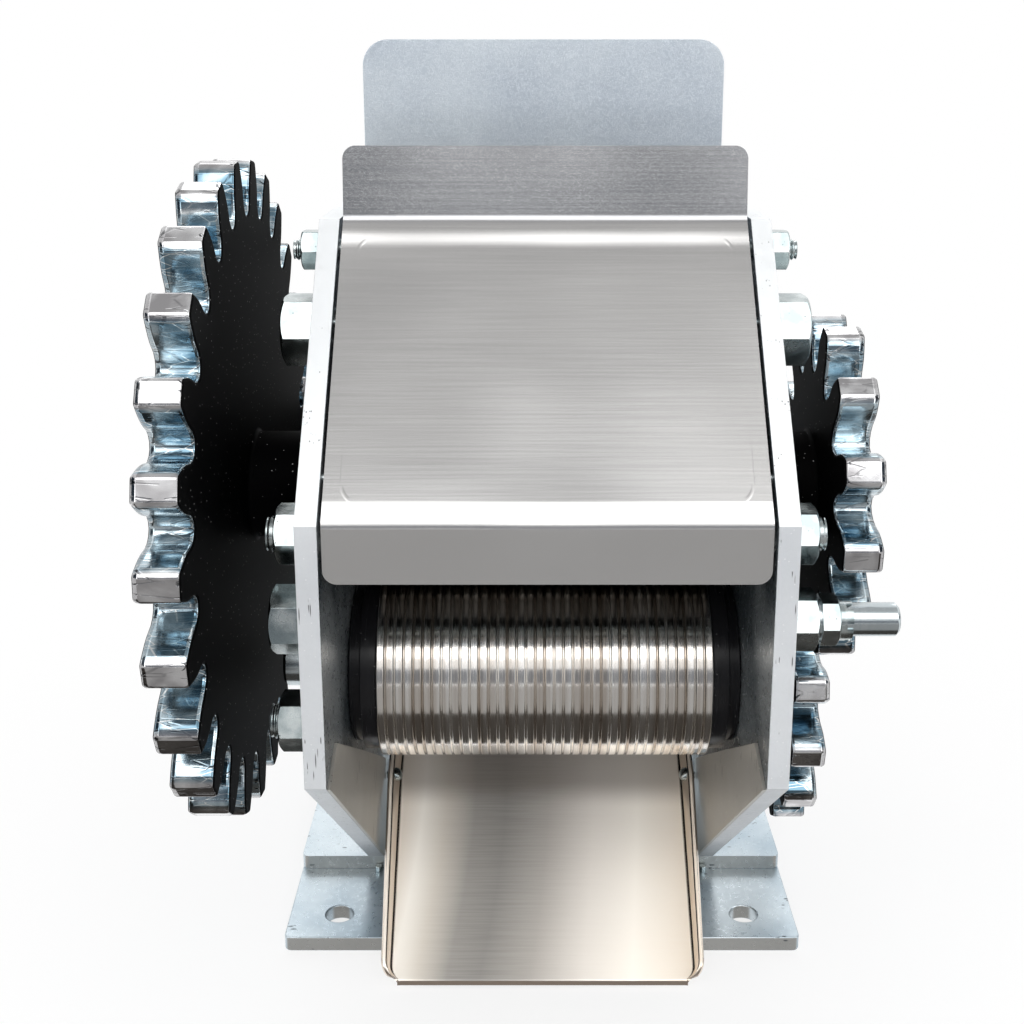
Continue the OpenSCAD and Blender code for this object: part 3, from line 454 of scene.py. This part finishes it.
blackened = black_steel("black_steel", 0.26, 0.0)
worked("main_bearings", 0.0004, black_steel("oiled_black", 1.0, 1.0))
worked("shaft_bushes", 0.0003, blackened)
for group in ("main", "front", "rear"):
    worked(group + "_collars", 0.0005, blackened, group)


# ---------------------------------------------------------------- rollers and shafts
# Three rollers turned from solid bar with 36 shallow grooves each to grip the cane.
# The front one is polished, so every ridge carries a bright line; the other two are near black.
def roller_steel(name, dull, bright):
    """Turned steel with very fine rings, from a dull tone to a bright one along the roller."""
    steel = Finish(name, {"Metallic": 1.0})
    rings = steel.noise(steel.place((2200.0, 5.0, 5.0)), 1.0)
    wide = steel.noise(steel.place((260.0, 3.0, 3.0)), 1.0)
    return steel.feed(
        Base_Color=steel.blend(steel.fade(wide, 0.3, 0.7), dull, bright),
        Roughness=steel.fade(rings, 0.3, 0.7, 0.10, 0.22),
        Normal=steel.bump(rings * (12 * micron)),
    )


polished = roller_steel("polished_roller", (0.70, 0.64, 0.58), (0.97, 0.95, 0.92))
near_black = roller_steel("near_black_roller", (0.05, 0.045, 0.04), (0.14, 0.13, 0.12))
worked("front_roller", 0.00025, polished, "front")
worked("main_roller", 0.00025, near_black, "main")
worked("rear_roller", 0.00025, near_black, "rear")
for group in ("main", "front", "rear", "crank"):
    worked(group + "_shaft", 0.0, ground, group)


# ---------------------------------------------------------------- gears
# Four thick spur gears flame cut from plate: faces painted matt black, the cut teeth
# zinc plated over, so the plating is crazed and bright with dark cracks along each tooth.
main_axis, rear_axis = (-0.060, 0.282), (0.0357665, 0.1525791)
crank_axis = (0.1504677, 0.2509209)
left_faces, right_faces = (-0.160, -0.141), (0.130, 0.148)


def gear_zinc(name, axis, tip_radius, faces):
    """Black on the flat faces and the hub, crazed mirror zinc on the teeth, paler tips; the
    flanks' blue is a painted reflection.

    The teeth's outer side and their tips are rounded a little further as a bump.
    """
    middle, half = (faces[0] + faces[1]) / 2, (faces[1] - faces[0]) / 2
    zinc = Finish(name, {"Specular IOR Level": 0.02, "Coat Roughness": 0.12})
    here = zinc.place(shift=(0.0, -axis[0], -axis[1]))
    along, y_off, z_off = zinc.split(here)
    radius = (y_off * y_off + z_off * z_off).math("SQRT")
    from_middle = abs(along - middle)
    flat = zinc.fade(from_middle, half - 0.0006, half - 0.0005)
    hub = zinc.fade(radius, tip_radius * 0.30, tip_radius * 0.31, 1.0, 0.0)
    black = flat.math("MAXIMUM", hub)
    on_tip = zinc.fade(radius, tip_radius - 0.0035, tip_radius - 0.0008)
    warped = zinc.noise(here, 70.0)
    cells = zinc.cells(zinc.place((45.0, 210.0, 210.0)), 1.0, "DISTANCE_TO_EDGE")
    craze = zinc.fade(cells + (warped - 0.5) * 0.12, 0.012, 0.05, 1.0, 0.0)
    rare = zinc.fade(zinc.noise(here, 120.0), 0.42, 0.52)
    rim = zinc.fade(from_middle, half * 0.68, half * 0.80)
    crack = craze * rare * (0.35 + 0.65 * rim)
    cloud = zinc.noise(here, 55.0, 3.0, 0.5, 0.6)
    clouded = zinc.fade(cloud, 0.35, 0.65)
    # The flanks' tone is the zinc's own with a painted blue reflection of the surroundings over
    # it.
    flank_zinc_and_blue_reflection = zinc.blend(clouded, (0.15, 0.25, 0.32), (0.62, 0.72, 0.77))
    tip = zinc.blend(clouded, (0.50, 0.49, 0.50), (0.90, 0.90, 0.91))
    tone = zinc.blend(on_tip, flank_zinc_and_blue_reflection, tip)
    tone = zinc.blend(crack * 0.9, tone, (0.02, 0.025, 0.03))
    veins = zinc.cells(zinc.place((60.0, 260.0, 260.0)), 1.0, "DISTANCE_TO_EDGE")
    vein = zinc.fade(veins, 0.0, 0.035, 1.0, 0.0) * (1 - on_tip)
    tone = zinc.blend(vein * 0.8, tone, (0.92, 0.93, 0.92))
    speck = zinc.fade(zinc.cells(here, 300.0), 0.05, 0.11, 1.0, 0.0)
    paint = zinc.blend(speck * 0.45, (0.001, 0.001, 0.0012), (0.6, 0.6, 0.6))
    worn = zinc.fade(zinc.noise(here, 6.0, 3.0), 0.45, 0.7, 0.0, 0.48)
    paint = zinc.blend(worn, paint, (0.003, 0.0028, 0.0025))
    outward = (along - middle) * math.copysign(1.0, middle)
    rolled = zinc.fade(outward, half - 0.0030, half) * 0.0018
    rolled = rolled + zinc.fade(radius, tip_radius - 0.0045, tip_radius) * 0.0016
    height = zinc.noise(here, 160.0) * (30 * micron) - crack * (100 * micron) - rolled
    shine = zinc.fade(cloud, 0.3, 0.7, 0.08, 0.20)
    return zinc.feed(
        Base_Color=zinc.blend(black, tone, paint),
        Metallic=1 - black,
        Coat_Weight=hub * (1 - flat),
        Roughness=shine + black * (0.55 - shine),
        Normal=zinc.bump(height * (1 - black)),
    )


for node, group, axis, tip_radius, faces in (
    ("bull_gear", "main", main_axis, 0.1581, left_faces),
    ("upper_gear", "main", main_axis, 0.0834, right_faces),
    ("lower_gear", "rear", rear_axis, 0.0949, right_faces),
    ("crank_pinion", "crank", crank_axis, 0.0719, left_faces),
):
    crazed = gear_zinc(node + "_zinc", axis, tip_radius, faces)
    worked(node, 0.0018, crazed, group, segments=4, sharp=40)


# ---------------------------------------------------------------- keepers
# Round black keepers, turned from bar, sit on the ends of the geared shafts.
# One zinc-plated screw through each holds the gear on.
for group, keeper in (
    ("main", "main_keepers"),
    ("rear", "rear_keeper"),
    ("crank", "crank_keeper"),
):
    worked(keeper, 0.0006, blackened, group)
for group, screw in (
    ("main", "main_keeper_bolts"),
    ("rear", "rear_keeper_bolt"),
    ("crank", "crank_keeper_bolt"),
):
    worked(screw, 0.0003, hardware, group)


# ---------------------------------------------------------------- covers
# 1.5 mm stainless sheet, cut, folded and held by pins in the side plates. Brushed across,
# with a fine worm-like grain on the upright faces. The slope is plain.
lip_foot, flange_top, inside_foot = 0.4100, 0.2985, 0.306
front_bend, top_bend = (-0.1712, -0.1648), (-0.0805, -0.0725)
slope_middle, press_half, press_corner = -0.121, (0.0803, 0.038), 0.006


def brushed_sheet():
    """Warm grey brushed stainless: long fine lines across, soft clouds, and a worm grain.

    The upright lip carries painted shade, the front flange a painted highlight and the inner side
    painted shade, nearly black. The bends are rolled a little further as a bump, and a curved
    press mark is in each corner.
    """
    sheet = Finish("brushed_sheet", {"Metallic": 1.0})
    here, normal = sheet.place(), sheet.facing()
    x, y, z = sheet.split(here)
    lines = sheet.noise(sheet.place((14.0, 1500.0, 1500.0)), 1.0, 3.0, 0.6)
    cloud = sheet.noise(sheet.place((3.0, 9.0, 9.0)), 1.0, 3.0)
    waves = sheet.noise(sheet.place((9.0, 6.0, 6.0)), 1.0, 1.0)
    worms = sheet.noise(here, 620.0, 2.0, 0.5, 1.2)
    _, _, rise = sheet.split(normal)
    upright = sheet.fade(abs(rise), 0.25, 0.5, 1.0, 0.0)
    worm = sheet.fade(abs(worms - 0.5), 0.0, 0.035, 1.0, 0.0) * upright
    worm = worm * sheet.fade(z, lip_foot - 0.005, lip_foot + 0.01, 0.25, 0.8)

    out_x = (abs(x) - press_half[0]).math("MAXIMUM", 0.0)
    from_middle = abs(y - slope_middle)
    out_y = (from_middle - press_half[1]).math("MAXIMUM", 0.0)
    reach = (out_x * out_x + out_y * out_y).math("SQRT") - press_corner
    crease = sheet.fade(abs(reach), 0.0002, 0.0009, 1.0, 0.0)
    crease = crease * sheet.fade(from_middle, 0.016, 0.036) * sheet.fade(out_x, 0.0015, 0.004)

    core = sheet.add(
        "ShaderNodeVectorMath", {"operation": "SUBTRACT"}, {0: here, 1: (0.0, 0.0, 0.28)}
    )
    outward = sheet.add(
        "ShaderNodeVectorMath", {"operation": "DOT_PRODUCT"}, {0: normal, 1: core}, out="Value"
    )
    inside = sheet.fade(outward, -0.01, 0.0, 1.0, 0.0)
    inside = inside * sheet.fade(z, lip_foot - 0.01, lip_foot, 1.0, 0.0)
    inside = inside * sheet.fade(z, inside_foot - 0.004, inside_foot + 0.004)
    flange = sheet.fade(z, flange_top - 0.001, flange_top + 0.001, 1.0, 0.0)
    flange = flange * sheet.fade(y, -0.16, -0.15, 1.0, 0.0)

    tone = sheet.blend(sheet.fade(cloud, 0.3, 0.7), (0.53, 0.525, 0.52), (0.71, 0.70, 0.69))
    # Painted shade: the upright lip above lip_foot is darkened.
    tone = sheet.blend(sheet.fade(z, lip_foot, lip_foot + 0.0045), tone, (0.385, 0.39, 0.405))
    tone = sheet.blend(sheet.fade(lines, 0.35, 0.65) * 0.10, tone, (0.80, 0.79, 0.78))
    tone = sheet.blend(worm * 0.28, tone, (0.80, 0.80, 0.82))
    # Painted shade: the sheet's inner side, under the cover, is made nearly black.
    tone = sheet.blend(inside * 0.95, tone, (0.012, 0.012, 0.012))
    # Painted highlight: the front flange below flange_top is lightened.
    tone = sheet.blend(flange * 0.8, tone, (0.82, 0.815, 0.81))
    rolled = sheet.fade(y, *front_bend) + sheet.fade(y, *top_bend)
    height = lines * (1.5 * micron) + worm * (10 * micron) + crease * (60 * micron)
    height = height + rolled * 0.0013 + waves * 0.007
    return sheet.feed(
        Base_Color=tone,
        Roughness=sheet.fade(lines, 0.3, 0.7, 0.21, 0.26),
        Normal=sheet.bump(height),
    )


brushed = brushed_sheet()
worked("cover", 0.0003, brushed, sharp=30)
worked("rear_cover", 0.0003, brushed, sharp=30)
worked("cover_pins", 0.0, hardware)


# ---------------------------------------------------------------- feed plate and guide
# A flat zinc-plated plate with rounded corners stands behind the mouth; the cane slides
# down it. Below it a folded guide keeps the cane on the rear roller.
def grained_zinc():
    """Blue zinc sheet with a dense worm-like grain."""
    zinc = Finish("grained_zinc", {"Metallic": 0.9})
    here = zinc.place()
    cloud = zinc.noise(here, 11.0, 4.0)
    worms = zinc.noise(here, 520.0, 2.0, 0.5, 1.5)
    worm = zinc.fade(abs(worms - 0.5), 0.0, 0.05, 1.0, 0.0)
    tone = zinc.blend(zinc.fade(cloud, 0.3, 0.7), (0.52, 0.58, 0.65), (0.66, 0.72, 0.77))
    return zinc.feed(
        Base_Color=zinc.blend(worm * 0.42, tone, (0.86, 0.90, 0.94)),
        Roughness=zinc.fade(worms, 0.3, 0.7, 0.42, 0.56),
        Normal=zinc.bump(worm * (30 * micron)),
    )


worked("feed_plate", 0.0003, grained_zinc())
worked("feed_guide", 0.0, brushed)


# ---------------------------------------------------------------- juice tray
# Folded from 1.5 mm stainless, sloping forward between the gussets: low rolled side walls
# and a turned-down front lip. Brushed across.
def tray_sheet():
    """Warm satin stainless with painted reflections in bands across the floor and painted shadow
    at its top and on the lip's front face; the walls are mirror bright.
    """
    sheet = Finish("tray_sheet")
    x, y, _ = sheet.split(sheet.place())
    lean, ahead, _ = sheet.split(sheet.facing())
    lines = sheet.noise(sheet.place((26.0, 1100.0, 1100.0)), 1.0)
    drift = sheet.noise(sheet.place((5.0, 3.0, 3.0), shift=(0.3, 0.0, 0.0)), 1.0, 1.0)
    # Painted reflections: the ramp's warm light and dark bands across the floor stand in for
    # mirrored surroundings.
    stops = (
        (0.0, (0.86, 0.78, 0.68)),
        (0.06, (1.0, 0.95, 0.87)),
        (0.14, (0.66, 0.61, 0.54)),
        (0.24, (0.31, 0.295, 0.275)),
        (0.34, (0.25, 0.24, 0.225)),
        (0.48, (0.42, 0.395, 0.365)),
        (0.64, (0.80, 0.75, 0.69)),
        (0.80, (1.0, 0.94, 0.85)),
        (1.0, (0.86, 0.76, 0.64)),
    )
    across = sheet.fade(x + (drift - 0.5) * 0.05, -0.085, 0.085, ease="LINEAR")
    wall = sheet.fade(abs(lean), 0.20, 0.55)
    # Painted shadow: the lip's face turned forward is darkened.
    painted_lip_shadow = sheet.fade(ahead, -0.95, -0.75, 1.0, 0.0)
    tone = sheet.add("ShaderNodeValToRGB", {"stops": stops}, {0: across})
    tone = sheet.blend(sheet.fade(lines, 0.3, 0.7) * 0.06, tone, (0.98, 0.95, 0.90))
    # Painted shadow: the top of the floor, under the rear roller, is darkened.
    tone = sheet.blend(sheet.fade(y, 0.026, 0.044) * 0.6, tone, (0.12, 0.10, 0.085))
    tone = sheet.blend(wall, tone, (0.84, 0.75, 0.66))
    return sheet.feed(
        Base_Color=sheet.blend(painted_lip_shadow, tone, (0.11, 0.085, 0.065)),
        Metallic=0.08 + 0.92 * wall,
        Roughness=0.30 - 0.20 * wall,
        Normal=sheet.bump(lines * (1 - wall) * (1.2 * micron)),
    )


def arc(centre, radius, start, sweep, steps):
    """Points of an arc in the tray's cross-section, angles in degrees."""
    angles = [math.radians(start + sweep * k / steps) for k in range(steps + 1)]
    return [(centre[0] + radius * math.cos(a), centre[1] + radius * math.sin(a)) for a in angles]


def tray_section(half, wide, high):
    """Half of the sheet's upper line in metres: flat floor, leaning wall, rolled rim."""
    low, top = min(0.004, high * 0.4), min(0.0022, high * 0.22)
    lean = math.degrees(math.atan2(high, wide))
    line = [((half - wide - low) * k / 6, 0.0) for k in range(6)]
    line += arc((half - wide - low * 0.4, low), low, -90, lean, 6)
    line += arc((half - top, high - top), top, 90 + lean, -80 - lean, 8)
    return line + [(half, high - top * 2.2)]


# The floor starts at the lip and ends 65 mm under the rear roller's axis. The half widths and
# the walls' widths and heights are those at the front, and from the end of the taper up.
lip_height, tray_length, tray_taper, under_roller = 0.004, 0.184, 0.122, 0.065
front_half, rear_half = 0.0866, 0.0918
front_wall, rear_wall = (0.0055, 0.0078), (0.0080, 0.0102)
skin, corner, nose_round, lip_drop, no_wall = 0.0014, 0.0085, 0.0016, 0.0018, (0.002, 0.0002)
tray_front = Vector((0.0, -0.068, lip_height))
slope = math.asin((rear_axis[1] - under_roller - lip_height) / tray_length)
uphill = Vector((0.0, math.cos(slope), math.sin(slope)))
outward = Vector((0.0, -math.sin(slope), math.cos(slope)))

# Each station is a cross-section: its place, its way up, half width, wall width and height.
# They go up the lip, round the nose and up the floor, and lie closer where the corners turn.
lip_steps, nose_steps, floor_steps = 3, 4, 36
stations = []
nose = tray_front + uphill * nose_round + outward * (skin - nose_round)
for k in range(lip_steps + 1):
    spot = nose + Vector((0.0, -nose_round, -lip_drop * (1 - k / lip_steps)))
    stations.append((spot, Vector((0.0, -1.0, 0.0)), front_half - corner, *no_wall))
for k in range(1, nose_steps + 1):
    turn = (math.pi / 2 - slope) * k / nose_steps
    up = Vector((0.0, -math.cos(turn), math.sin(turn)))
    half = front_half - corner * (1 - k / (5 * nose_steps))
    stations.append((nose + up * nose_round, up, half, *no_wall))
for k in range(1, floor_steps + 1):
    s = nose_round + (tray_length - nose_round) * (k / floor_steps) ** 2.2
    tapered = min(s / tray_taper, 1.0)
    cut = max(0.0, 1 - s / corner)
    grown = math.sqrt(1 - cut * cut)
    half = front_half + (rear_half - front_half) * tapered - corner * (1 - grown)
    wide = front_wall[0] + (rear_wall[0] - front_wall[0]) * tapered
    high = (front_wall[1] + (rear_wall[1] - front_wall[1]) * tapered) * grown + 0.0003
    stations.append((tray_front + uphill * s + outward * skin, outward, half, wide, high))

tray_points, tray_faces = [], []
for spot, up, half, wide, high in stations:
    right = tray_section(half, wide, high)
    across = [(-x, n) for x, n in reversed(right[1:])] + right
    tray_points += [spot + Vector((x, 0.0, 0.0)) + up * n for x, n in across]
row = len(across)
for a in range(len(stations) - 1):
    for b in range(row - 1):
        first = a * row + b
        tray_faces.append((first, first + 1, first + 1 + row, first + row))
tray_mesh = bpy.data.meshes.new("juice_tray_sheet")
tray_mesh.from_pydata(tray_points, [], tray_faces)
for face in tray_mesh.polygons:
    face.use_smooth = True
tray = bpy.data.objects.new("juice_tray_sheet", tray_mesh)
bpy.context.scene.collection.objects.link(tray)
thickness = tray.modifiers.new("thickness", "SOLIDIFY")
thickness.thickness, thickness.offset = 0.0012, -1.0
shown = tray.evaluated_get(bpy.context.evaluated_depsgraph_get())
tray.data = bpy.data.meshes.new_from_object(shown)
tray.modifiers.clear()
tray.data.set_sharp_from_angle(angle=math.radians(60))
tray.data.materials.append(tray_sheet())
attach(tray, "frame")
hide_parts("juice_tray")


# ---------------------------------------------------------------- tray screws
# Zinc-plated dome heads on the tray's leaning walls. Their shanks go through the gussets
# and hold the tray.
head_radius, head_flatness, head_raise = 0.0041, 0.75, 0.0012
shank_radius, shank_length = 0.002, 0.0045
screw_uphill, screw_height, screw_inset, shank_inset = 0.126, 0.0055, 0.0042, 0.0014
wall_lean = math.atan2(rear_wall[1], rear_wall[0])
dome_mesh = bpy.data.meshes.new("tray_screw_heads")
dome = bmesh.new()
for mirror in (-1, 1):
    inward = Vector((-mirror * math.sin(wall_lean), 0.0, 0.0)) + outward * math.cos(wall_lean)
    seat = tray_front + uphill * screw_uphill + outward * (skin + screw_height)
    seat += Vector((mirror * (rear_half - screw_inset), 0.0, 0.0))
    spin = inward.to_track_quat("Z", "Y").to_matrix().to_4x4()
    spin.translation = seat + inward * head_raise
    head = bmesh.ops.create_uvsphere(dome, u_segments=32, v_segments=16, radius=head_radius)
    bmesh.ops.scale(dome, vec=(1.0, 1.0, head_flatness), verts=head["verts"])
    bmesh.ops.transform(dome, matrix=spin, verts=head["verts"])
    shank = bmesh.ops.create_cone(
        dome,
        cap_ends=True,
        segments=24,
        radius1=shank_radius,
        radius2=shank_radius,
        depth=shank_length,
    )
    turn = Vector((1.0, 0.0, 0.0)).to_track_quat("Z", "Y").to_matrix().to_4x4()
    turn.translation = Vector((mirror * (rear_half - shank_inset), seat.y, seat.z))
    bmesh.ops.transform(dome, matrix=turn, verts=shank["verts"])
for face in dome.faces:
    face.smooth = True
dome.to_mesh(dome_mesh)
dome.free()
dome_mesh.set_sharp_from_angle(angle=math.radians(50))
dome_mesh.materials.append(hardware)
heads = bpy.data.objects.new("tray_screw_heads", dome_mesh)
bpy.context.scene.collection.objects.link(heads)
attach(heads, "frame")
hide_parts("tray_screws")
